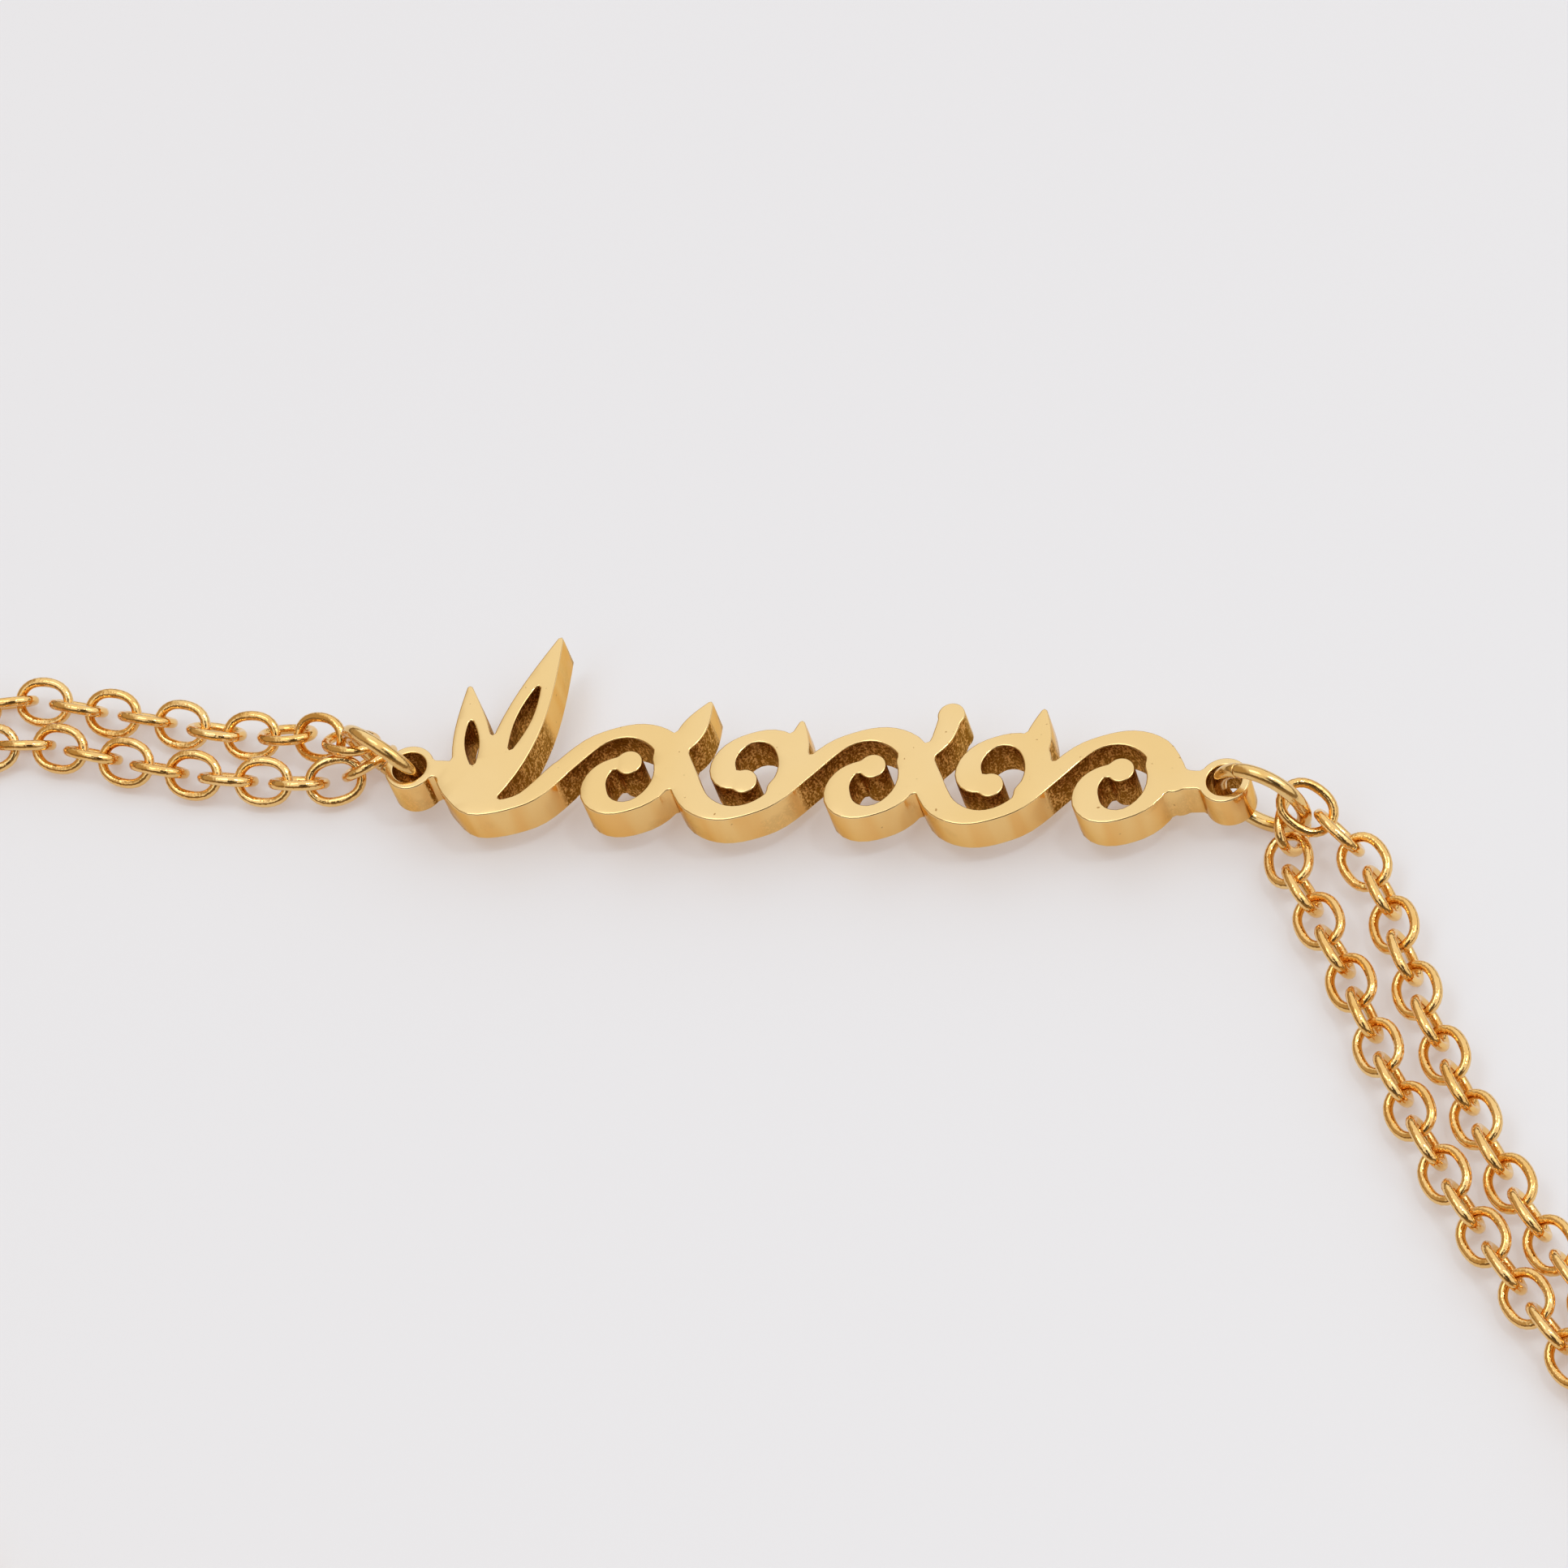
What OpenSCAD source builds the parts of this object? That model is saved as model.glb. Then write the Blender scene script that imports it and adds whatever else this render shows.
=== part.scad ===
/* [Plate] */
// Thickness of the sheet that the plate is cut from
plate_t = 1.5; // [1.2:0.1:1.8]
// Distance between the centres of the two lug holes
hole_span = 28.6; // [28.4:0.1:28.8]
// Outer diameter of each ring lug
lug_d = 1.75; // [1.7:0.05:1.9]
// Diameter of the hole through each lug
lug_hole = 1.2; // [1.15:0.05:1.25]
// Height of the plate's underside above the surface, where the jump rings carry it
plate_lift = 0.8; // [0.75:0.05:0.85]
// Width of the thinnest stretches of the vine
hair_w = 0.48; // [0.4:0.02:0.6]
// Width of the thickest stretches of the vine
bold_w = 1.05; // [0.9:0.05:1.2]
// How far the vine leans to the right, as a share of its height
lean_share = 0.16; // [0:0.02:0.3]
// Height of the vine's waves from the middle line to the middle of the stem
wave_h = 1.62; // [1.5:0.02:1.7]

/* [Rings] */
// Outer diameter of the jump rings and end rings
ring_d = 3.6; // [3.5:0.05:3.7]
// Diameter of the wire of the rings
ring_wire = 0.5; // [0.4:0.05:0.5]

/* [Chain] */
// Outer length of one link
link_l = 2.21; // [2.18:0.01:2.26]
// Outer width of one link
link_w = 1.79; // [1.76:0.01:1.82]
// Diameter of the wire of the links
link_wire = 0.36; // [0.3:0.01:0.37]
// How far the steeper links of the left strands are rolled from flat
left_roll = 57; // [54:1:60]
// How far the flatter links of the right strands are rolled from flat
right_roll = 20; // [18:1:22]

/* [Clasp] */
// Length of the clasp between the centres of its two holes
clasp_span = 7.0; // [6.9:0.1:7.1]
// Thickness of the clasp
clasp_t = 1.5; // [1.2:0.1:1.6]
// Width of the clasp's body
clasp_w = 3.6; // [3:0.1:4]

/* [Hidden] */

// The middle of the plate in the part's frame, whose origin is under the middle of the loop
plate_at = [0.6, 16.2, 0];

// Columns of a point
X = 0;
Y = 1;
Z = 2;

// Shared curves: a smooth line through a table of points
function item(v, i) = v[max(0, min(len(v) - 1, i))];
function spline(a, b, c, d, t) =
    0.5 * (2 * b + (c - a) * t + (2 * a - 5 * b + 4 * c - d) * t * t
    + (3 * b - a - 3 * c + d) * t * t * t);
function smooth_line(p, n) = [
    for (i = [0:len(p) - 2], j = [0:n - 1])
        spline(item(p, i - 1), p[i], p[i + 1], item(p, i + 2), j / n),
    item(p, len(p) - 1)
];
function reversed(v) = [for (i = [len(v) - 1:-1:0]) v[i]];

// The vine: every stroke is as wide as a broad nib held at nib_angle would draw it
nib_angle = 20;
nib_power = 1.5;
stroke_steps = 5;
function lean(p) = [p[X] + lean_share * p[Y], p[Y]];
function heading(c, i) = let (d = item(c, i + 1) - item(c, i - 1)) atan2(d[Y], d[X]);
function nib_w(a) = hair_w + (bold_w - hair_w) * pow(abs(sin(a - nib_angle)), nib_power);
function edge(c, press, side) = [
    for (i = [0:len(c) - 1])
        let (a = heading(c, i))
            c[i] + side * press * nib_w(a) / 2 * [-sin(a), cos(a)]
];

// A stroke along the line c, with round ends
module stroke(c, press = 1) {
    polygon(concat(edge(c, press, 1), reversed(edge(c, press, -1))));
    for (i = [0, len(c) - 1])
        translate(c[i])
            circle(d = press * nib_w(heading(c, i)), $fn = 24);
}

module pen(p, press = 1) {
    stroke(smooth_line([for (q = p) lean(q)], stroke_steps), press);
}

// A pointed leaf from its base to its tip, with an almond slit cut through it
leaf_steps = 14;
slit_steps = 10;
leaf_fullness = 0.8;
slit_start_share = 0.3;
slit_length_share = 0.42;
module leaf(base, tip, w, slit = 0) {
    d = lean(tip) - lean(base);
    l = norm(d);
    slit_l = slit_length_share * l;
    translate(lean(base))
        rotate(atan2(d[Y], d[X]))
            difference() {
                polygon([
                    for (s = [1, -1], i = [0:leaf_steps])
                        let (f = (s > 0 ? i : leaf_steps - i) / leaf_steps)
                            [l * f, s * w / 2 * sin(180 * pow(f, leaf_fullness))]
                ]);
                translate([slit_start_share * l, 0])
                    polygon([
                        for (s = [1, -1], i = [0:slit_steps])
                            let (f = (s > 0 ? i : slit_steps - i) / slit_steps)
                                [slit_l * f, s * slit / 2 * sin(180 * f)]
                    ]);
            }
}

// One half wave of the stem, as shares of its length and height
STEM = [[0, 0], [0.22, 0.74], [0.5, 1], [0.78, 0.74], [1, 0]];
waves = 5;
wave_l = 4.3;
wave_x = -8.9;

// The curl inside each wave
curl_r0 = 1.5;
curl_r1 = 0.6;
curl_from = 35;
curl_turn = 305;
curl_tightening = 1.3;
curl_drop = 0.26;
curl_press = 0.9;
curl_steps = 26;
berry_d = 0.95;

// A half wave of the stem with the curl that it carries; odd ones are turned over
module wave(k) {
    up = k % 2 == 0 ? 1 : -1;
    mid = [wave_x + (k + 0.55) * wave_l, -curl_drop * up];
    curl = [
        for (i = [0:curl_steps])
            let (
                f = i / curl_steps,
                r = curl_r0 + (curl_r1 - curl_r0) * pow(f, curl_tightening),
                a = up * (curl_from - curl_turn * f)
            )
                lean(mid + r * [cos(a), sin(a)])
    ];
    pen([for (q = STEM) [wave_x + (k + q[X]) * wave_l, up * wave_h * q[Y]]]);
    stroke(curl, curl_press);
    translate(item(curl, curl_steps))
        circle(d = berry_d, $fn = 32);
}

module vine() {
    for (k = [0:waves - 1]) wave(k);
    // The start of the stem, and its two pierced leaves
    pen([[-13.6, 0], [-12.9, -0.15], [-12.2, -0.9], [-11.2, -1.55], [-9.8, -1.2], [-8.9, 0]], 1.05);
    leaf([-11.1, -1.7], [-10.7, 5.75], 1.55, 0.55);
    leaf([-11.4, -1.6], [-13.4, 3.6], 1.45, 0.5);
    // The small leaves, the berry on its stalk, and the end of the stem
    leaf([-5, 0.6], [-4.4, 3], 0.95);
    leaf([-0.6, -0.2], [-1, 2.3], 0.85);
    pen([[3.6, 0.6], [4.1, 1.4], [4.15, 2.4]], 0.85);
    translate(lean([4.15, 2.45]))
        circle(d = berry_d, $fn = 32);
    leaf([7.6, 0.2], [7.3, 2.9], 0.95);
    pen([[12.1, 0.5], [12.7, 0.05], [13.6, 0]], 1.25);
}

// Radius that the cutter leaves in the sharp inner corners, and on the tips
inner_r = 0.08;
tip_r = 0.1;
module script_plate() {
    color("gold")
        translate(plate_at + [0, 0, plate_lift])
            difference() {
                linear_extrude(plate_t)
                    offset(r = tip_r)
                        offset(r = -tip_r - inner_r)
                            offset(r = inner_r)
                                union() {
                                    vine();
                                    for (s = [-1, 1])
                                        translate([s * hole_span / 2, 0])
                                            circle(d = lug_d, $fn = 48);
                                }
                for (s = [-1, 1])
                    translate([s * hole_span / 2, 0, -1])
                        cylinder(d = lug_hole, h = plate_t + 2, $fn = 48);
            }
}

// A wire ring that stands on the surface. It goes through a hole at the point hole,
// leaves it towards the angle yaw, and leans to its left by the angle tip.
ring_r = (ring_d - ring_wire) / 2;
ring_reach = 1.3;
module wire_ring(hole, yaw, tip = 0) {
    reach = ring_reach * [cos(yaw), sin(yaw), 0];
    height = ring_r * cos(tip) + ring_wire / 2;
    translate(plate_at + hole + reach + [0, 0, height])
        rotate([90 - tip, 0, yaw])
            rotate_extrude($fn = 48)
                translate([ring_r, 0])
                    circle(d = ring_wire, $fn = 24);
}

left_hole = [-hole_span / 2, 0, 0];
right_hole = [hole_span / 2, 0, 0];
left_yaw = 150;
left_tip = 10;
right_yaw = -18;
module jump_ring_left() { color("goldenrod") wire_ring(left_hole, left_yaw, left_tip); }
module jump_ring_right() { color("goldenrod") wire_ring(right_hole, right_yaw); }

// The clasp lies across the loop from the plate, level with it
clasp_mid = [-4, -35.8, 0];
clasp_eye_d = 2;
clasp_neck_w = 1;
clasp_bow_r = clasp_w;
clasp_left = clasp_mid - [clasp_span / 2, 0, 0];
clasp_right = clasp_mid + [clasp_span / 2, 0, 0];
module clasp() {
    color("gold")
        translate(plate_at + clasp_mid + [0, 0, plate_lift])
            difference() {
                union() {
                    for (s = [-1, 1])
                        translate([s * clasp_span / 2, 0, 0])
                            cylinder(d = clasp_eye_d, h = clasp_t, $fn = 48);
                    translate([-clasp_span / 2, -clasp_neck_w / 2, 0])
                        cube([clasp_span, clasp_neck_w, clasp_t]);
                    intersection_for(s = [-1, 1])
                        translate([0, s * (clasp_bow_r - clasp_w / 2), 0])
                            cylinder(r = clasp_bow_r, h = clasp_t, $fn = 96);
                }
                for (s = [-1, 1])
                    translate([s * clasp_span / 2, 0, -1])
                        cylinder(d = lug_hole, h = clasp_t + 2, $fn = 48);
            }
}
module end_ring_left() { color("goldenrod") wire_ring(clasp_left, 180); }
module end_ring_right() { color("goldenrod") wire_ring(clasp_right, 0); }

// One link lies along X with its flat in the XY plane
bend_r = (link_w - link_wire) / 2;
side_l = link_l - link_w;
module link() {
    for (s = [-1, 1]) {
        translate([s * side_l / 2, 0, 0])
            rotate([0, 0, -90 * s])
                rotate_extrude(angle = 180, $fn = 32)
                    translate([bend_r, 0])
                        circle(d = link_wire, $fn = 16);
        translate([-side_l / 2, s * bend_r, 0])
            rotate([0, 90, 0])
                cylinder(d = link_wire, h = side_l, $fn = 16);
    }
}

// How the links of each strand are rolled in turn, always a quarter turn apart
left_rolls = [left_roll, left_roll - 90];
right_outer_rolls = [right_roll, right_roll - 90];
right_inner_rolls = reversed(right_outer_rolls);

// Height of the links' centres where a strand lies on its steeper links
function low_z(rolls) = bend_r * sin(max(abs(rolls[0]), abs(rolls[1]))) + link_wire / 2;
LEFT_LOW = low_z(left_rolls);
RIGHT_LOW = low_z(right_outer_rolls);

// The chain's routes from the jump ring to the end ring: the middle of the first link,
// the points that it lies through, and the middle of the last link
LEFT_BACK = [
    [-16.99, 1.56, 1.39], [-19.29, 2.12, 0.96], [-21.41, 2.18, LEFT_LOW], [-24.2, 2.68, LEFT_LOW],
    [-26.9, 3.1, LEFT_LOW], [-29.56, 3.48, LEFT_LOW], [-31.94, 2.95, LEFT_LOW],
    [-33.93, 1.45, LEFT_LOW], [-35.43, -1.47, LEFT_LOW], [-35.89, -8.04, LEFT_LOW],
    [-34.1, -16, LEFT_LOW], [-31.3, -24, LEFT_LOW], [-26.8, -31, LEFT_LOW], [-20.4, -35.3, LEFT_LOW],
    [-13.61, -36.68, LEFT_LOW], [-11.99, -36.34, 0.9], [-10.53, -35.87, 1.48]
];
LEFT_FRONT = [
    [-16.39, 1.09, 0.81], [-17.65, 0.31, 0.81], [-20.06, 0.28, LEFT_LOW], [-22.3, 0.45, LEFT_LOW],
    [-24.7, 0.85, LEFT_LOW], [-27.2, 1.38, LEFT_LOW], [-29.2, 1.65, LEFT_LOW], [-31.2, 1.25, LEFT_LOW],
    [-32.9, -0.2, LEFT_LOW], [-33.9, -2.8, LEFT_LOW], [-34.05, -8, LEFT_LOW], [-32.3, -15.5, LEFT_LOW],
    [-29.6, -23.2, LEFT_LOW], [-25.6, -29.3, LEFT_LOW], [-19.8, -32.9, LEFT_LOW],
    [-13.61, -33.08, LEFT_LOW], [-11.06, -34.31, 0.87], [-9.98, -35.56, 0.82]
];
RIGHT_OUTER = [
    [17.15, -0.75, 1.85], [18.41, -1.5, 1.13], [19.73, -3.19, RIGHT_LOW], [21, -6.1, RIGHT_LOW],
    [22.4, -9.05, RIGHT_LOW], [25.2, -14, RIGHT_LOW], [28.1, -18, RIGHT_LOW], [31.2, -21.6, RIGHT_LOW],
    [33.9, -25.4, RIGHT_LOW], [35.2, -29.4, RIGHT_LOW], [34.4, -33.4, RIGHT_LOW],
    [30.8, -36.1, RIGHT_LOW], [25, -37, RIGHT_LOW], [15, -37.1, RIGHT_LOW], [6.58, -36.99, RIGHT_LOW],
    [4.26, -36.54, 1.26], [2.7, -35.9, 1.72]
];
RIGHT_INNER = [
    [16.49, -0.84, RIGHT_LOW], [16.55, -2.23, RIGHT_LOW], [17.66, -4.2, RIGHT_LOW],
    [19.3, -7, RIGHT_LOW], [20.7, -9.8, RIGHT_LOW], [23.2, -14, RIGHT_LOW], [25.65, -17.5, RIGHT_LOW],
    [28.4, -20.9, RIGHT_LOW], [30.8, -23.9, RIGHT_LOW], [32.5, -26.9, RIGHT_LOW],
    [33.1, -30, RIGHT_LOW], [31.8, -33, RIGHT_LOW], [28.8, -34.8, RIGHT_LOW], [24, -35.2, RIGHT_LOW],
    [15, -35, RIGHT_LOW], [6.8, -34.4, RIGHT_LOW], [3.62, -34.82, RIGHT_LOW], [2.2, -35.64, 0.93]
];

// Points at equal steps along a route, found from the length run so far
route_steps = 6;
function run_lengths(c) = [
    for (i = 0, s = 0; i < len(c); s = s + norm(item(c, i + 1) - c[i]), i = i + 1) s
];
function coordinate(c, runs, s, axis) =
    lookup(s, [for (i = [0:len(c) - 1]) [runs[i], c[i][axis]]]);
function along(c, runs, s, low) = [
    coordinate(c, runs, s, X),
    coordinate(c, runs, s, Y),
    max(low, coordinate(c, runs, s, Z))
];
function link_frames(route, links, low) =
    let (
        c = smooth_line(route, route_steps),
        runs = run_lengths(c),
        pitch = item(runs, len(runs) - 1) / (links - 1),
        ease = 0.4 * pitch
    ) [
        for (i = [0:links - 1])
            let (
                s = i * pitch,
                d = along(c, runs, s + ease, low) - along(c, runs, s - ease, low)
            )
                [along(c, runs, s, low), atan2(d[Z], norm([d[X], d[Y]])), atan2(d[Y], d[X])]
    ];

// The rings turn the links at both ends of a strand, and within settle_links of them the links
// settle back to their own rolls. Each table of rolls starts with the link on the ring.
settle_links = 6;
function roll_of(i, links, first_rolls, rolls, last_rolls) =
    let (
        back = links - 1 - i,
        own = rolls[i % 2],
        near_first = max(0, 1 - i / settle_links),
        near_last = max(0, 1 - back / settle_links)
    )
        own + near_first * (first_rolls[i % 2] - own) + near_last * (last_rolls[back % 2] - own);

// Columns of a link's frame
AT = 0;
RISE = 1;
YAW = 2;
module strand(route, links, first_rolls, rolls, last_rolls) {
    frames = link_frames(route, links, low_z(rolls));
    color("orange")
        translate(plate_at)
            for (i = [0:links - 1])
                translate(frames[i][AT])
                    rotate([
                        roll_of(i, links, first_rolls, rolls, last_rolls),
                        -frames[i][RISE],
                        frames[i][YAW]
                    ])
                        link();
}

module strand_left_back() {
    strand(LEFT_BACK, 53, [31, -37], left_rolls, [22, -60]);
}
module strand_left_front() {
    strand(LEFT_FRONT, 51, [48, -36], left_rolls, [52, -23]);
}
module strand_right_outer() {
    strand(RIGHT_OUTER, 54, [16, -67], right_outer_rolls, [-27, 91]);
}
module strand_right_inner() {
    strand(RIGHT_INNER, 51, [-66, 14], right_inner_rolls, [-46, 51]);
}

script_plate();
jump_ring_left();
jump_ring_right();
strand_left_back();
strand_left_front();
strand_right_outer();
strand_right_inner();
end_ring_left();
end_ring_right();
clasp();
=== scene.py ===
import random
from math import pi, radians

import bmesh
import bpy
import numpy as np
from mathutils import Matrix, Vector
from mathutils.bvhtree import BVHTree


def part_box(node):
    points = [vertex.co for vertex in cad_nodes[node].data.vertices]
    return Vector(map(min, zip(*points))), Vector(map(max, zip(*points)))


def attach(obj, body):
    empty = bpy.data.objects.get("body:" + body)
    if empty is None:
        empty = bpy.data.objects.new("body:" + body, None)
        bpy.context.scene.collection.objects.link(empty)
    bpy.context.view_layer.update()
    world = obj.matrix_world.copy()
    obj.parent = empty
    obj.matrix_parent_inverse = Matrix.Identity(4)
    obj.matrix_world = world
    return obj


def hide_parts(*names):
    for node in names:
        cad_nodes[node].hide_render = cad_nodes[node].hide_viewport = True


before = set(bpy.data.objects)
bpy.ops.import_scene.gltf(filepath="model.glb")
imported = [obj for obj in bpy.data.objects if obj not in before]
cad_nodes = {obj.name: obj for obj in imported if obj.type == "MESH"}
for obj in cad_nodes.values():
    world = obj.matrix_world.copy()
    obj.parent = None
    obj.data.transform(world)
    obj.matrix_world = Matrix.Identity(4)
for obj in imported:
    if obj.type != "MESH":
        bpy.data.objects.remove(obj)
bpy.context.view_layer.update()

# Cut plate
# The plate is sawn from one 1.5 mm sheet of gold-plated brass: a scrolling vine pierced through,
# with a drilled lug at each end. Its face is polished, and its rims are only just broken. The outer
# walls were polished too, and the walls that the wheel couldn't reach keep the grain of the cut.
# Their dark brown is partly that grain and partly painted shade, darkest where another wall stands
# close.
mm = 0.001
weld_gap = 0.0001 * mm
no_length = 0.0001 * mm
cut_gap = 0.03 * mm
level_over = 0.9999
rim_over = radians(60)
rim_drop = 0.01 * mm
rim_width = 0.05 * mm
rim_steps = 3
crease_over = radians(50)
face_over = 0.2
least_outward = 0.2
wheel_reach = 2.6 * mm
wall_lift = 0.03 * mm
polish_at_reach = 0.4

face_gold = (0.885, 0.660, 0.330, 1)
face_gold_deep = (0.860, 0.615, 0.275, 1)
wall_gold = (0.905, 0.590, 0.230, 1)
wall_gold_deep = (0.865, 0.500, 0.165, 1)
wall_edge = (0.950, 0.780, 0.480, 1)
# The dark brown of the walls that the wheel couldn't reach: partly the cut's grain, partly painted
# shade in the hollows
cut_brown_and_shade = (0.290, 0.120, 0.015, 1)
speck_brown = (0.500, 0.300, 0.110, 1)


def gold_tree(material_name):
    """A new metal material: its node tree, its Principled node and its Object coordinates."""
    material = bpy.data.materials.new(material_name)
    material.use_nodes = True
    tree = material.node_tree
    metal = tree.nodes["Principled BSDF"]
    metal.inputs["Metallic"].default_value = 1
    place = tree.nodes.new("ShaderNodeTexCoord").outputs["Object"]
    return material, tree, metal, place


def effect(effect_name, scale_name, result_names):
    """A new node group from a place and a scale: its tree, and what enters and leaves it."""
    group = bpy.data.node_groups.new(effect_name, "ShaderNodeTree")
    sockets = group.interface
    sockets.new_socket("Place", in_out="INPUT", socket_type="NodeSocketVector")
    sockets.new_socket(scale_name, in_out="INPUT", socket_type="NodeSocketFloat")
    for result_name in result_names:
        sockets.new_socket(result_name, in_out="OUTPUT", socket_type="NodeSocketFloat")
    entering = group.nodes.new("NodeGroupInput").outputs
    leaving = group.nodes.new("NodeGroupOutput").inputs
    return group, entering, leaving


def placed(tree, group, place, **values):
    """The effect placed in a material, with its own values."""
    holder = tree.nodes.new("ShaderNodeGroup")
    holder.node_tree = group
    tree.links.new(place, holder.inputs["Place"])
    for socket_name, value in values.items():
        holder.inputs[socket_name.replace("_", " ")].default_value = value
    return holder.outputs


def maths(tree, operation, first, second):
    """The result of one sum on two values or sockets."""
    sum_node = tree.nodes.new("ShaderNodeMath")
    sum_node.operation = operation
    for socket, value in zip(sum_node.inputs, (first, second)):
        if isinstance(value, bpy.types.NodeSocket):
            tree.links.new(value, socket)
        else:
            socket.default_value = value
    return sum_node.outputs[0]


def stretched_noise(tree, place, scale, detail, stretch=(1, 1, 1)):
    """Noise of the given scale, drawn out along an axis where its stretch is under 1."""
    mapping = tree.nodes.new("ShaderNodeMapping")
    mapping.inputs["Scale"].default_value = stretch
    tree.links.new(place, mapping.inputs["Vector"])
    noise = tree.nodes.new("ShaderNodeTexNoise")
    noise.inputs["Detail"].default_value = detail
    tree.links.new(mapping.outputs[0], noise.inputs["Vector"])
    if isinstance(scale, bpy.types.NodeSocket):
        tree.links.new(scale, noise.inputs["Scale"])
    else:
        noise.inputs["Scale"].default_value = scale
    return noise.outputs["Fac"]


def spread(tree, value, span=(0, 1), onto=(0, 1)):
    """A value moved from one span onto another, and kept inside it."""
    stretch = tree.nodes.new("ShaderNodeMapRange")
    tree.links.new(value, stretch.inputs["Value"])
    for socket_name, end in zip(("From Min", "From Max", "To Min", "To Max"), (*span, *onto)):
        stretch.inputs[socket_name].default_value = end
    return stretch.outputs[0]


def two_tones(tree, share, tone, other_tone):
    """One colour where the share is 0 and the other where it is 1."""
    blend = tree.nodes.new("ShaderNodeMix")
    blend.data_type = "RGBA"
    tree.links.new(share, blend.inputs["Factor"])
    for name, colour in (("A", tone), ("B", other_tone)):
        socket = [s for s in blend.inputs if s.name == name and s.type == "RGBA"][0]
        if isinstance(colour, bpy.types.NodeSocket):
            tree.links.new(colour, socket)
        else:
            socket.default_value = colour
    return [s for s in blend.outputs if s.type == "RGBA"][0]


def bumped(tree, metal, height, depth):
    """The metal's surface raised by a height, as deep as the given distance."""
    bump = tree.nodes.new("ShaderNodeBump")
    bump.inputs["Distance"].default_value = depth
    tree.links.new(height, bump.inputs["Height"])
    tree.links.new(bump.outputs[0], metal.inputs["Normal"])


# Tone drift: a soft, slow change between two tones of plating
drift_span = (0.35, 0.65)
tone_drift, given, result = effect("tone_drift", "Patches per metre", ["Share"])
drift = stretched_noise(tone_drift, given["Place"], given["Patches per metre"], detail=3)
tone_drift.links.new(spread(tone_drift, drift, drift_span), result["Share"])

# Polish marks: the soft waves of a hand-held wheel, with faint lines in places and a few specks
wave_stretch = (0.07, 0.09, 0.07)
line_stretch = (0.05, 1, 0.5)
rub_stretch = (0.03, 0.05, 0.04)
pit_stretch = (0.5, 0.5, 0.5)
wave_span = (0.35, 0.65)
rub_span = (0.52, 0.70)
pit_span = (0.76, 0.80)
line_height = 0.05
wheel_marks = ["Height", "Dulled", "Specks"]
polish_marks, given, result = effect("polish_marks", "Lines per metre", wheel_marks)
wheel = (polish_marks, given["Place"], given["Lines per metre"])
waves = stretched_noise(*wheel, detail=1, stretch=wave_stretch)
lines = stretched_noise(*wheel, detail=3, stretch=line_stretch)
rubbed = stretched_noise(*wheel, detail=1, stretch=rub_stretch)
pits = stretched_noise(*wheel, detail=1, stretch=pit_stretch)
in_places = spread(polish_marks, rubbed, rub_span, (0, line_height))
lined = maths(polish_marks, "MULTIPLY", lines, in_places)
polish_marks.links.new(maths(polish_marks, "ADD", waves, lined), result["Height"])
polish_marks.links.new(spread(polish_marks, waves, wave_span), result["Dulled"])
polish_marks.links.new(spread(polish_marks, pits, pit_span), result["Specks"])

# Cut grain: the sparkling grain that the saw leaves on a wall, a little longer than it is wide
grain_stretch = (1, 1, 0.65)
stroke_stretch = (0.4, 0.4, 0.12)
stroke_share = 0.5
sparkle_span = (0.72, 0.90)
cut_grain, given, result = effect("cut_grain", "Grains per metre", ["Height", "Sparkle"])
saw = (cut_grain, given["Place"], given["Grains per metre"])
grains = stretched_noise(*saw, detail=2, stretch=grain_stretch)
strokes = stretched_noise(*saw, detail=1, stretch=stroke_stretch)
grained = maths(cut_grain, "ADD", grains, maths(cut_grain, "MULTIPLY", strokes, stroke_share))
cut_grain.links.new(grained, result["Height"])
cut_grain.links.new(spread(cut_grain, grained, sparkle_span), result["Sparkle"])

# Finish of the polished face
face_roughness = (0.13, 0.20)
face_mark_depth = 0.02 * mm


def plate_face_material():
    """Polished gold in two drifting tones, with the wheel's marks and a few brown specks."""
    material, tree, metal, place = gold_tree("polished_plate_face")
    marks = placed(tree, polish_marks, place, Lines_per_metre=11000)
    drifting = placed(tree, tone_drift, place, Patches_per_metre=160)["Share"]
    polished = two_tones(tree, drifting, face_gold, face_gold_deep)
    speckled = two_tones(tree, marks["Specks"], polished, speck_brown)
    tree.links.new(speckled, metal.inputs["Base Color"])
    tree.links.new(spread(tree, marks["Dulled"], onto=face_roughness), metal.inputs["Roughness"])
    bumped(tree, metal, marks["Height"], face_mark_depth)
    return material


# Finish of the walls, from where the wheel reached them to where only the saw did; there the brown is
# the cut's grain and painted shade
wall_roughness = (0.14, 0.38)
patch_middle = 0.5
patch_share = 0.35
rough_span = (0.1, 0.6)
streaks_per_metre = 1300
streak_stretch = (1, 1, 0.12)
streak_span = (0.38, 0.62)
grain_strength = (0.03, 1.0)
wall_grain_depth = 0.05 * mm


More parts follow.
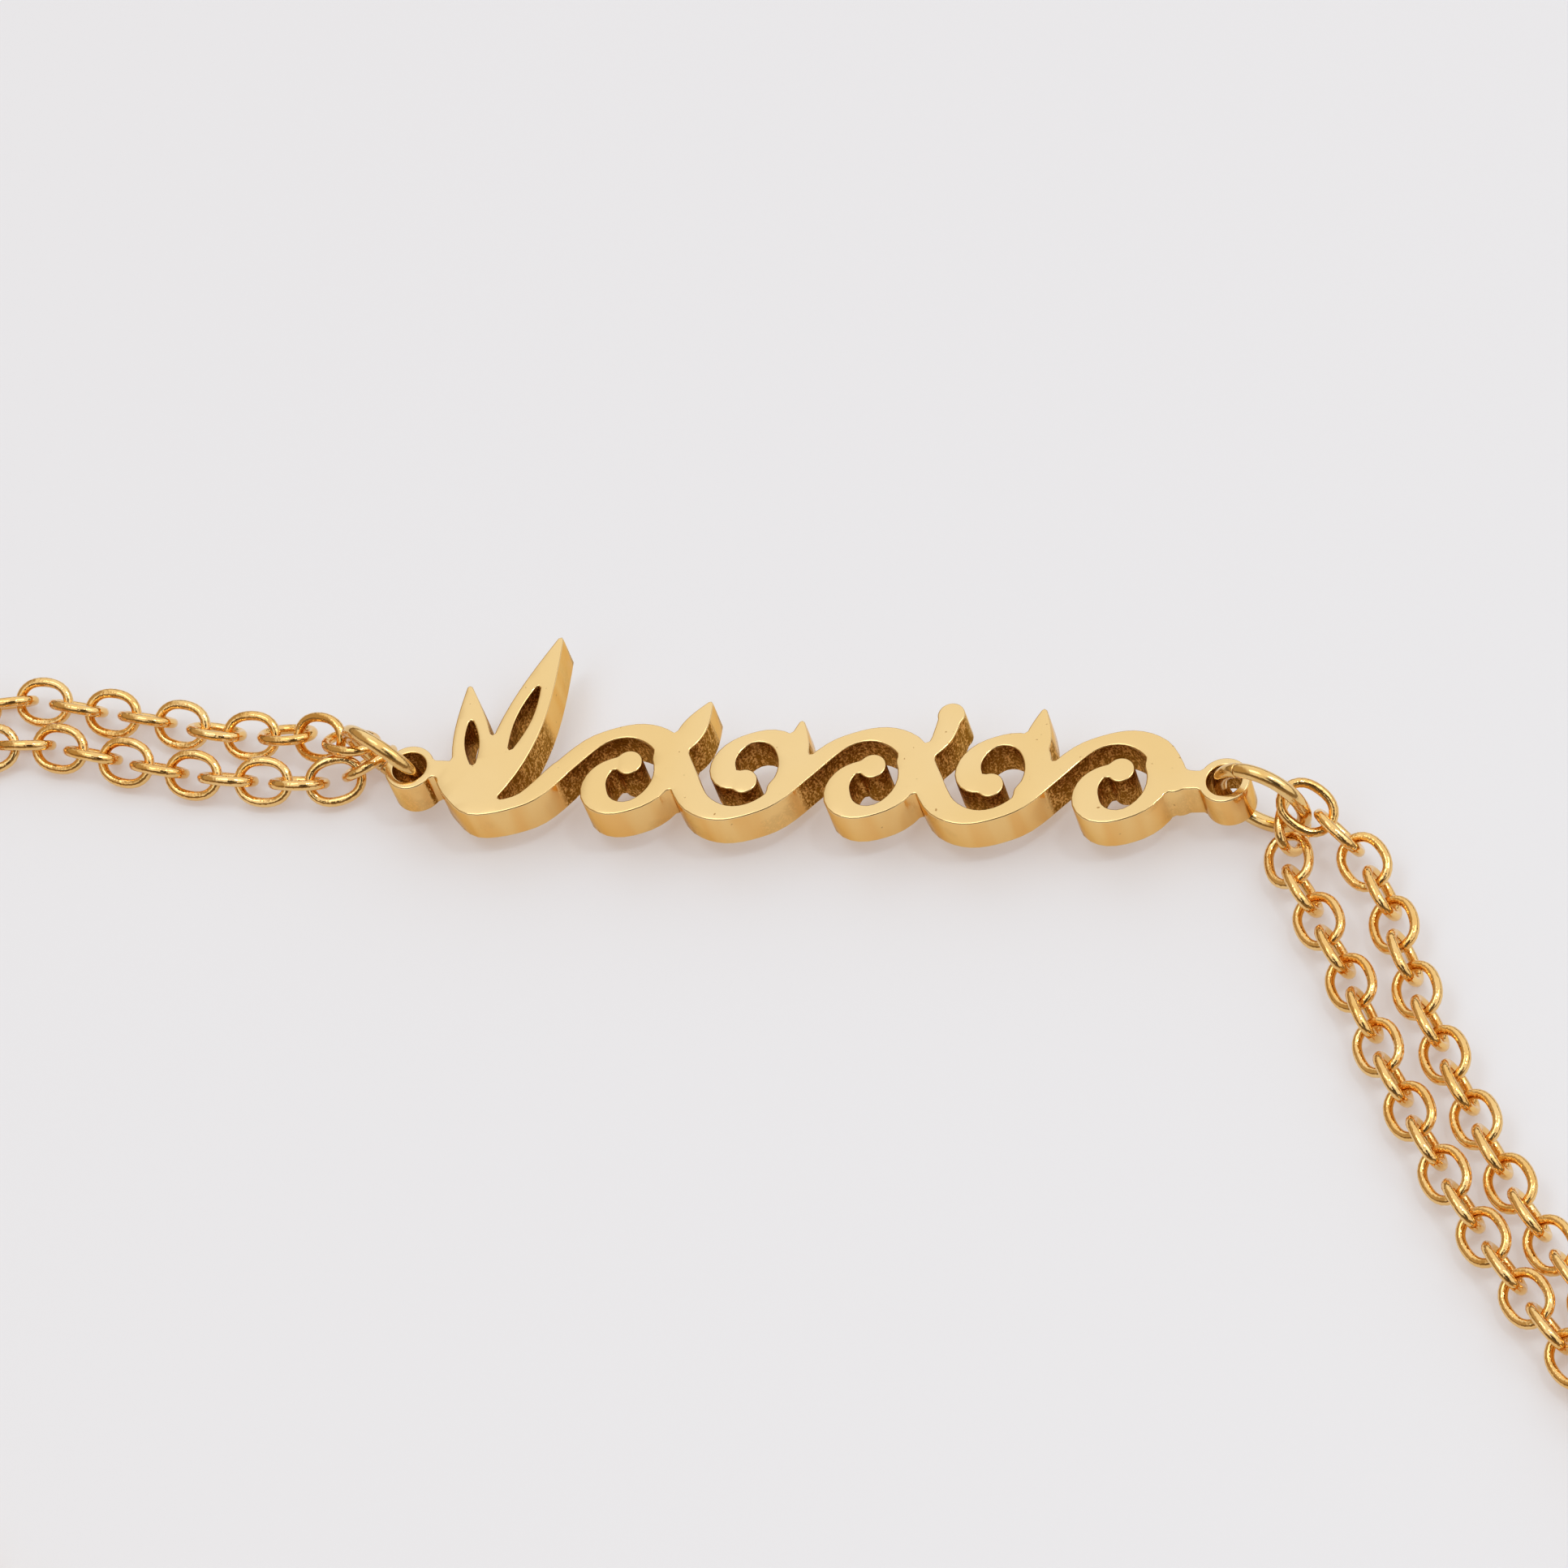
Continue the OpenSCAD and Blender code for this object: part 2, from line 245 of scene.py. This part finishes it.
def plate_wall_material():
    """Polished gold with upright streaks that turns to brown, sparkling grain in patches, with
    painted shade in the hollows.
    """
    material, tree, metal, place = gold_tree("plate_wall_polished_to_cut_and_shaded")
    unreached_and_shaded = tree.nodes.new("ShaderNodeAttribute")
    unreached_and_shaded.attribute_name = "rough_and_painted_shade"
    grain = placed(tree, cut_grain, place, Grains_per_metre=14000)
    marks = placed(tree, polish_marks, place, Lines_per_metre=9000)
    drifting = placed(tree, tone_drift, place, Patches_per_metre=420)["Share"]
    patchy = maths(tree, "MULTIPLY", maths(tree, "SUBTRACT", drifting, patch_middle), patch_share)
    rough_and_shaded = spread(tree, maths(tree, "ADD", unreached_and_shaded.outputs["Fac"], patchy), rough_span)
    long_noise = stretched_noise(tree, place, streaks_per_metre, detail=1, stretch=streak_stretch)
    streaks = spread(tree, long_noise, streak_span)
    polished = two_tones(tree, streaks, wall_gold, wall_gold_deep)
    speckled = two_tones(tree, marks["Specks"], polished, speck_brown)
    # Painted shade: where another wall stands close, the wall turns from gold to dark brown, along
    # with its real grain and roughness
    cut = two_tones(tree, grain["Sparkle"], cut_brown_and_shade, wall_gold_deep)
    tree.links.new(two_tones(tree, rough_and_shaded, speckled, cut), metal.inputs["Base Color"])
    metal.inputs["Specular Tint"].default_value = wall_edge
    tree.links.new(spread(tree, rough_and_shaded, onto=wall_roughness), metal.inputs["Roughness"])
    strength = spread(tree, rough_and_shaded, onto=grain_strength)
    bumped(tree, metal, maths(tree, "MULTIPLY", grain["Height"], strength), wall_grain_depth)
    return material


def merged(node_name, gap=weld_gap):
    """The CAD solid's mesh with its loose triangles joined, and close points made one."""
    work = bmesh.new()
    work.from_mesh(cad_nodes[node_name].data)
    bmesh.ops.remove_doubles(work, verts=work.verts, dist=gap)
    bmesh.ops.dissolve_degenerate(work, edges=work.edges, dist=no_length)
    return work


def is_level(edge):
    """True for an edge that lies along a level face."""
    return abs(edge.verts[0].co.z - edge.verts[1].co.z) < rim_drop


def break_rims(work, width):
    """Rounds the sharp rims of the level faces of a solid whose faces are still triangles."""
    rims = [edge for edge in work.edges if edge.calc_face_angle(0) > rim_over and is_level(edge)]
    bmesh.ops.bevel(work, geom=rims, offset=width, offset_type="OFFSET", affect="EDGES",
                    segments=rim_steps, profile=0.5, material=-1, clamp_overlap=False)


def finished(work, piece_name, node_name, materials, sharp_over=None):
    """A piece from its mesh, in its materials, standing for its CAD node. Level faces stay flat."""
    mesh = bpy.data.meshes.new(piece_name)
    work.normal_update()
    for face in work.faces:
        face.smooth = abs(face.normal.z) < level_over
    work.to_mesh(mesh)
    work.free()
    if sharp_over is not None:
        mesh.set_sharp_from_angle(angle=sharp_over)
    for material in materials:
        mesh.materials.append(material)
    piece = bpy.data.objects.new(piece_name, mesh)
    bpy.context.scene.collection.objects.link(piece)
    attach(piece, "root")
    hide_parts(node_name)
    return piece


def even_faces(piece):
    """Keeps the light even over flat faces, up to their rounded rims."""
    weighted = piece.modifiers.new("even_faces", "WEIGHTED_NORMAL")
    weighted.keep_sharp = True


def mark_unreached_and_shaded(work, half_way):
    """Writes on each vertex how little of the polishing wheel reached its wall, from how near the
    wall across from it stands; the wall material also paints shade by this share.
    """
    walls = BVHTree.FromBMesh(work)
    rough_and_painted_shade = work.verts.layers.float.new("rough_and_painted_shade")
    for vert in work.verts:
        outward = Vector((vert.normal.x, vert.normal.y, 0))
        if outward.length < least_outward:
            continue
        outward.normalize()
        start = Vector((vert.co.x, vert.co.y, half_way)) + outward * wall_lift
        far = walls.ray_cast(start, outward, wheel_reach)[3]
        # The nearer the wall across, the higher the share: it roughens the wall and darkens it as
        # painted shade
        vert[rough_and_painted_shade] = 0 if far is None else 1 - polish_at_reach * far / wheel_reach


plate_work = merged("script_plate", cut_gap)
break_rims(plate_work, rim_width)
plate_low, plate_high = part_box("script_plate")
mark_unreached_and_shaded(plate_work, (plate_low.z + plate_high.z) / 2)
for face in plate_work.faces:
    face.material_index = 0 if abs(face.normal.z) > face_over else 1
plate_finishes = [plate_face_material(), plate_wall_material()]
cut_plate = finished(plate_work, "cut_plate", "script_plate",
                     plate_finishes, crease_over)
even_faces(cut_plate)

# Jump rings and end rings
# Each ring is a round brass wire of 0.5 mm, wound, cut and closed on itself with a butt joint, then
# plated. A jump ring passes through each lug and holds two strands. An end ring gathers them again.
ring_bend = 1.55 * mm
ring_wire = 0.5 * mm
ring_sides = 24
ring_steps = 96
seam_gap = 0.015 * mm
seam_rim = 0.03 * mm
seam_steps = 2
seam_turn = {
    "jump_ring_left": radians(120),
    "jump_ring_right": radians(-115),
    "end_ring_left": radians(90),
    "end_ring_right": radians(90),
}
ring_gold_tone = (0.900, 0.640, 0.280, 1)
ring_gold_deep = (0.820, 0.520, 0.180, 1)
ring_roughness = (0.12, 0.19)
ring_skin_depth = 0.012 * mm

# Drawn skin: the low dents and fine pits of drawn, tumbled and plated wire
fine_pit_stretch = (4, 4, 4)
fine_pit_share = 0.18
drawn_skin, given, result = effect("drawn_skin", "Dents per metre", ["Height"])
wire = (drawn_skin, given["Place"], given["Dents per metre"])
dents = stretched_noise(*wire, detail=2)
fine_pits = stretched_noise(*wire, detail=1, stretch=fine_pit_stretch)
pitted = maths(drawn_skin, "ADD", dents, maths(drawn_skin, "MULTIPLY", fine_pits, fine_pit_share))
drawn_skin.links.new(pitted, result["Height"])


def ring_material():
    """Plated wire in two drifting tones, a little duller where its tone is deeper."""
    material, tree, metal, place = gold_tree("plated_ring_wire")
    drifting = placed(tree, tone_drift, place, Patches_per_metre=900)["Share"]
    skin = placed(tree, drawn_skin, place, Dents_per_metre=2600)["Height"]
    plating = two_tones(tree, drifting, ring_gold_tone, ring_gold_deep)
    tree.links.new(plating, metal.inputs["Base Color"])
    tree.links.new(spread(tree, drifting, onto=ring_roughness), metal.inputs["Roughness"])
    bumped(tree, metal, skin, ring_skin_depth)
    return material


def wire_lie(points):
    """How a loop of wire lies: its middle, and its long, short and upright ways, as a matrix."""
    middle = points.mean(axis=0)
    directions = np.linalg.eigh(np.cov((points - middle).T))[1]
    upright = Vector(directions[:, 0])
    along = Vector(directions[:, 2])
    across = upright.cross(along)
    turn = Matrix((along, across, upright)).transposed().to_4x4()
    return Matrix.Translation(Vector(middle)) @ turn


def round_ring(turn):
    """A ring of wire about Z, cut at the given turn and closed but for its seam."""
    work = bmesh.new()
    section = bmesh.ops.create_circle(work, segments=ring_sides, radius=ring_wire / 2, cap_ends=True)
    stand = Matrix.Translation((ring_bend, 0, 0)) @ Matrix.Rotation(radians(90), 4, "X")
    bmesh.ops.transform(work, matrix=stand, verts=section["verts"])
    disc = work.verts[:] + work.edges[:] + work.faces[:]
    bmesh.ops.spin(work, geom=disc, cent=(0, 0, 0), axis=(0, 0, 1), steps=ring_steps,
                   angle=2 * pi - seam_gap / ring_bend, use_merge=False, use_duplicate=False)
    bmesh.ops.recalc_face_normals(work, faces=work.faces)
    rims = [edge for edge in work.edges if edge.calc_face_angle(0) > rim_over]
    bmesh.ops.bevel(work, geom=rims, offset=seam_rim, offset_type="OFFSET", affect="EDGES",
                    segments=seam_steps, profile=0.5, material=-1, clamp_overlap=True)
    to_seam = Matrix.Rotation(turn, 3, "Z")
    bmesh.ops.rotate(work, cent=(0, 0, 0), matrix=to_seam, verts=work.verts)
    return work


ring_finish = ring_material()
for node_name, turn in seam_turn.items():
    ring_points = np.array([vert.co for vert in cad_nodes[node_name].data.vertices])
    ring_work = round_ring(turn)
    bmesh.ops.transform(ring_work, matrix=wire_lie(ring_points), verts=ring_work.verts)
    finished(ring_work, node_name + "_wire", node_name, [ring_finish], crease_over)

# Four strands of cable chain
# Each strand is a row of oval brass links, each soldered shut through the one before it and then
# plated. The links are a little uneven from tumbling, and their tone changes from one to the next.
link_bend = 0.715 * mm
link_side = 0.435 * mm
link_wire = 0.36 * mm
wire_sides = 6
bend_steps = 6
link_dent = 0.003 * mm
strand_pieces = {
    "strand_left_back": "left_back_chain",
    "strand_left_front": "left_front_chain",
    "strand_right_outer": "right_outer_chain",
    "strand_right_inner": "right_inner_chain",
}
chain_gold_tone = (0.925, 0.640, 0.280, 1)
chain_gold_deep = (0.850, 0.510, 0.160, 1)
chain_roughness = (0.03, 0.07)
chain_skin_depth = 0.02 * mm
tone_share = 0.5

# Subdivision draws the wire and the bends of a link's cage in to these shares, so the cage starts
# that much larger. It leaves the straight sides out, so the whole width is drawn in by the third.
side_draw = 0.833
bend_draw = 0.955
width_draw = 0.968


def chain_material():
    """Bright plated wire whose tone is half the link's own and half a drift along it."""
    material, tree, metal, place = gold_tree("plated_chain_links")
    tone = tree.nodes.new("ShaderNodeAttribute")
    tone.attribute_name = "link_tone"
    drifting = placed(tree, tone_drift, place, Patches_per_metre=1500)["Share"]
    both = maths(tree, "ADD", tone.outputs["Fac"], drifting)
    share = maths(tree, "MULTIPLY", both, tone_share)
    skin = placed(tree, drawn_skin, place, Dents_per_metre=3500)["Height"]
    plating = two_tones(tree, share, chain_gold_tone, chain_gold_deep)
    tree.links.new(plating, metal.inputs["Base Color"])
    tree.links.new(spread(tree, drifting, onto=chain_roughness), metal.inputs["Roughness"])
    bumped(tree, metal, skin, chain_skin_depth)
    return material


def edges_in(geometry):
    """The edges among what an operator gives back."""
    return [part for part in geometry if isinstance(part, bmesh.types.BMEdge)]


def bent_round(work, geometry, middle):
    """Spins the wire's open end half a turn about an upright line through middle on X."""
    bend = bmesh.ops.spin(work, geom=geometry, cent=(middle, 0, 0), axis=(0, 0, 1), angle=pi,
                          steps=bend_steps, use_duplicate=False)
    return edges_in(bend["geom_last"])


def oval_link():
    """One link about its own middle, as the cage of a subdivision surface: 84 faces."""
    work = bmesh.new()
    reach = link_bend / bend_draw
    cage_wire = link_wire / 2 / side_draw
    section = bmesh.ops.create_circle(work, segments=wire_sides, radius=cage_wire)
    stand = Matrix.Translation((link_side / 2, -reach, 0)) @ Matrix.Rotation(radians(90), 4, "Y")
    bmesh.ops.transform(work, matrix=stand, verts=section["verts"])
    first = work.edges[:]
    end = bent_round(work, work.verts[:] + first, link_side / 2)
    side = bmesh.ops.extrude_edge_only(work, edges=end)["geom"]
    moved = [part for part in side if isinstance(part, bmesh.types.BMVert)]
    bmesh.ops.translate(work, vec=(-link_side, 0, 0), verts=moved)
    loop = [edge for edge in edges_in(side) if all(vert in moved for vert in edge.verts)]
    last = bent_round(work, moved + loop, -link_side / 2)
    bmesh.ops.bridge_loops(work, edges=first + last)
    bmesh.ops.scale(work, vec=(1, width_draw, 1), verts=work.verts)
    bmesh.ops.recalc_face_normals(work, faces=work.faces)
    link = bpy.data.meshes.new("oval_link")
    work.to_mesh(link)
    work.free()
    return link


def loose_links(node_name):
    """The points of each link of a CAD strand, in order along the strand."""
    work = merged(node_name)
    reached = set()
    links = []
    for start in work.verts:
        if start in reached:
            continue
        reached.add(start)
        link = [start]
        for vert in link:
            for edge in vert.link_edges:
                other = edge.other_vert(vert)
                if other not in reached:
                    reached.add(other)
                    link.append(other)
        links.append(np.array([vert.co for vert in link]))
    work.free()
    return links


chain_finish = chain_material()
link_mesh = oval_link()
for seed, (node_name, piece_name) in enumerate(strand_pieces.items()):
    chance = random.Random(seed)
    strand_work = bmesh.new()
    link_tone = strand_work.verts.layers.float.new("link_tone")
    for points in loose_links(node_name):
        placed_before = len(strand_work.verts)
        strand_work.from_mesh(link_mesh)
        strand_work.verts.ensure_lookup_table()
        link_verts = strand_work.verts[placed_before:]
        bmesh.ops.transform(strand_work, matrix=wire_lie(points), verts=link_verts)
        tone = chance.random()
        for vert in link_verts:
            vert[link_tone] = tone
            vert.co += Vector([chance.uniform(-link_dent, link_dent) for _ in range(3)])
    chain = finished(strand_work, piece_name, node_name, [chain_finish])
    rounded = chain.modifiers.new("rounded", "SUBSURF")
    rounded.levels = 1
    rounded.render_levels = 1
bpy.data.meshes.remove(link_mesh)

# Clasp
# The clasp is one plain plated tongue with a rounded body and a pierced eye at each end, through
# which the end rings pass. It lies at the back of the wrist, and no part of it moves here.
clasp_rim = 0.12 * mm
clasp_gold_tone = (0.890, 0.630, 0.280, 1)
clasp_gold_deep = (0.830, 0.550, 0.210, 1)
clasp_roughness = (0.16, 0.26)
clasp_mark_depth = 0.002 * mm


def clasp_material():
    """Polished gold in two drifting tones, with faint marks of the wheel."""
    material, tree, metal, place = gold_tree("polished_clasp")
    marks = placed(tree, polish_marks, place, Lines_per_metre=8000)
    drifting = placed(tree, tone_drift, place, Patches_per_metre=300)["Share"]
    plating = two_tones(tree, drifting, clasp_gold_tone, clasp_gold_deep)
    tree.links.new(plating, metal.inputs["Base Color"])
    tree.links.new(spread(tree, marks["Dulled"], onto=clasp_roughness), metal.inputs["Roughness"])
    bumped(tree, metal, marks["Height"], clasp_mark_depth)
    return material


clasp_work = merged("clasp")
break_rims(clasp_work, clasp_rim)
clasp_finish = clasp_material()
clasp_piece = finished(clasp_work, "clasp_tongue", "clasp",
                       [clasp_finish], crease_over)
even_faces(clasp_piece)

# Table
# The bracelet lies on a pale, softly glazed table top that runs out past the view. Its glow is
# painted light for the light that spreads inside a real top; it keeps the shadows faint, and over the
# bluish tone it paints them warm.
table_half = 1.5
# The top's own tone is bluish, so that the warm painted glow leaves it neutral in the light and
# paints its shadows warm
table_tone = (0.460, 0.560, 0.632, 1)
table_painted_glow = (0.326, 0.240, 0.211, 1)
table_roughness = 0.42
table_gloss = 0.7

table_work = bmesh.new()
bmesh.ops.create_grid(table_work, x_segments=1, y_segments=1, size=table_half)
table_mesh = bpy.data.meshes.new("table_top")
table_work.to_mesh(table_mesh)
table_work.free()
table_finish = bpy.data.materials.new("pale_glazed_table")
table_finish.use_nodes = True
glaze = table_finish.node_tree.nodes["Principled BSDF"]
glaze.inputs["Base Color"].default_value = table_tone
glaze.inputs["Roughness"].default_value = table_roughness
glaze.inputs["Specular IOR Level"].default_value = table_gloss
# Painted light: the table top glows on its own and fills its shadows
glaze.inputs["Emission Color"].default_value = table_painted_glow
glaze.inputs["Emission Strength"].default_value = 1
table_mesh.materials.append(table_finish)
table_top = bpy.data.objects.new("table_top", table_mesh)
bpy.context.scene.collection.objects.link(table_top)

# Camera
# It looks down on the plate from its front right, a quarter of a metre away, through a long lens.
# The picture shows shown_per_mm pixels for each millimetre at the plate, and is photo_width wide.
plate_middle = Vector((0.6, 16.2, 2.3)) * mm
photo_right = Vector((0.960, 0.165, -0.227))
photo_up = Vector((-0.015, 0.838, 0.545))
camera_far = 250 * mm
nearest_seen = 10 * mm
shown_per_mm = 36.52
photo_width = 1932
sensor_width = 36
aim_right = -0.875 * mm
aim_up = -0.36 * mm

photo_right.normalize()
photo_back = photo_right.cross(photo_up).normalized()
photo_up = photo_back.cross(photo_right)
lens = bpy.data.cameras.new("camera")
lens.sensor_width = sensor_width
lens.lens = shown_per_mm * camera_far / mm / photo_width * sensor_width
lens.clip_start = nearest_seen
camera = bpy.data.objects.new("camera", lens)
camera_turn = Matrix((photo_right, photo_up, photo_back)).transposed().to_4x4()
camera_at = plate_middle + photo_back * camera_far + photo_right * aim_right + photo_up * aim_up
camera.matrix_world = Matrix.Translation(camera_at) @ camera_turn
bpy.context.scene.collection.objects.link(camera)
bpy.context.scene.camera = camera

# Light
# A white tent gives the polished face its even tone, softboxes above and at the right draw the bright
# lines on the wires, and a tan card hangs at the left. The dark room, warmer low down, draws the dark
# lines: it shows under the tent's rim, which rises towards the front, and in the camera's gap.
tent_bright = (1.0, 0.985, 0.97, 1)
tent_tan = (0.50, 0.37, 0.22, 1)
room_dark = (0.065, 0.045, 0.027, 1)
room_warm = (0.24, 0.17, 0.10, 1)
warm_edge = (0.30, 0.52)
card_edge = (-0.64, -0.44)
rim_low = 0.20
rim_rise = 0.78
rim_edge = (-0.05, 0.05)
gap_way = (0.28, -0.58, 0.76)
gap_edge = (0.93, 0.97)

# Each lamp's place, width and power, and whether the metal mirrors it; each faces the bracelet
lamps = {
    "top_softbox": ((-0.15, 0.03, 0.58), 0.22, 0.26, True),
    "right_softbox": ((0.40, 0.12, 0.45), 0.24, 0.31, True),
    "right_lamp": ((0.22, 0.04, 0.50), 0.06, 0.25, True),
    "front_fill": ((-0.10, -0.50, 0.35), 0.80, 0.45, False),
}
for lamp_name, (at, width, power, mirrored) in lamps.items():
    light = bpy.data.lights.new(lamp_name, "AREA")
    light.size = width
    light.energy = power
    lamp = bpy.data.objects.new(lamp_name, light)
    lamp.visible_glossy = mirrored
    facing = Vector(at).to_track_quat("Z", "Y").to_matrix().to_4x4()
    lamp.matrix_world = Matrix.Translation(at) @ facing
    bpy.context.scene.collection.objects.link(lamp)

tent = bpy.data.worlds.new("white_tent")
tent.use_nodes = True
tent_tree = tent.node_tree
looking = tent_tree.nodes.new("ShaderNodeTexCoord").outputs["Generated"]
ways = tent_tree.nodes.new("ShaderNodeSeparateXYZ")
tent_tree.links.new(looking, ways.inputs[0])
front_rim = maths(tent_tree, "MULTIPLY", ways.outputs["Y"], -rim_rise)
rim = maths(tent_tree, "MAXIMUM", front_rim, rim_low)
over_rim = spread(tent_tree, maths(tent_tree, "SUBTRACT", ways.outputs["Z"], rim), rim_edge)
gap = tent_tree.nodes.new("ShaderNodeVectorMath")
gap.operation = "DOT_PRODUCT"
gap.inputs[1].default_value = gap_way
tent_tree.links.new(looking, gap.inputs[0])
beside_gap = spread(tent_tree, gap.outputs["Value"], gap_edge, (1, 0))
in_tent = maths(tent_tree, "MULTIPLY", over_rim, beside_gap)
off_card = spread(tent_tree, ways.outputs["X"], card_edge)
tent_walls = two_tones(tent_tree, off_card, tent_tan, tent_bright)
low_down = spread(tent_tree, ways.outputs["Z"], warm_edge, (1, 0))
room = two_tones(tent_tree, low_down, room_dark, room_warm)
surroundings = two_tones(tent_tree, in_tent, room, tent_walls)
tent_tree.links.new(surroundings, tent_tree.nodes["Background"].inputs["Color"])
bpy.context.scene.world = tent
bpy.context.scene.view_settings.view_transform = "Standard"
